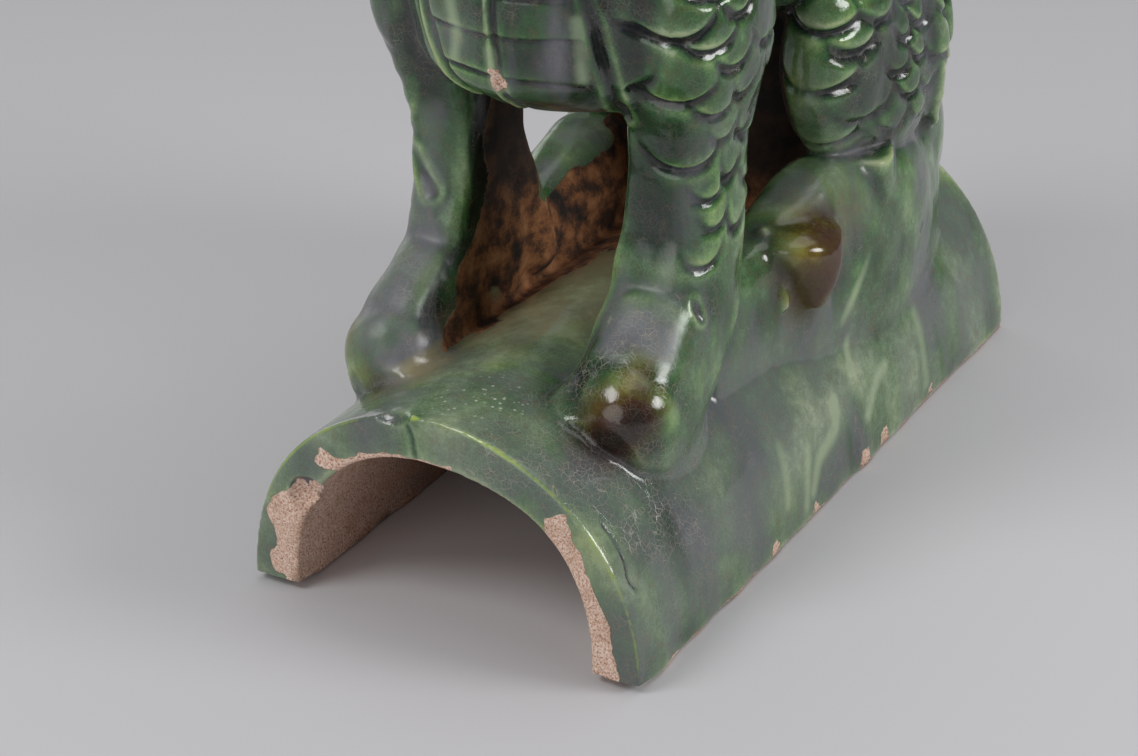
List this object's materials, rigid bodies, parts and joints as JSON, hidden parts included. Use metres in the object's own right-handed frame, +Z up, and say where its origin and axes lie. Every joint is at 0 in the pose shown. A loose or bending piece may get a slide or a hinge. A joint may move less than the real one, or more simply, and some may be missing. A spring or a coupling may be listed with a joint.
{
  "type": "ridge beast ornament",
  "caption": "Seated scaled guardian beast on a half-round ridge tile, one glazed clay casting that caps a roof ridge.",
  "frame": {"origin": "middle of the footprint, on the plane of the tile's two long edges", "axes": "+Z up, +Y along the tile towards the beast's tail, the beast faces -Y, +X to its left side's mirror, across the tile"},
  "size_m": [0.14, 0.2834, 0.3591],
  "materials": {
    "green_lead_glaze": "glossy, crazed, bare clay where the glaze stopped"
  },
  "bodies": {
    "root": {"ridge_beast_tile": "green_lead_glaze"}
  },
  "joints": []
}
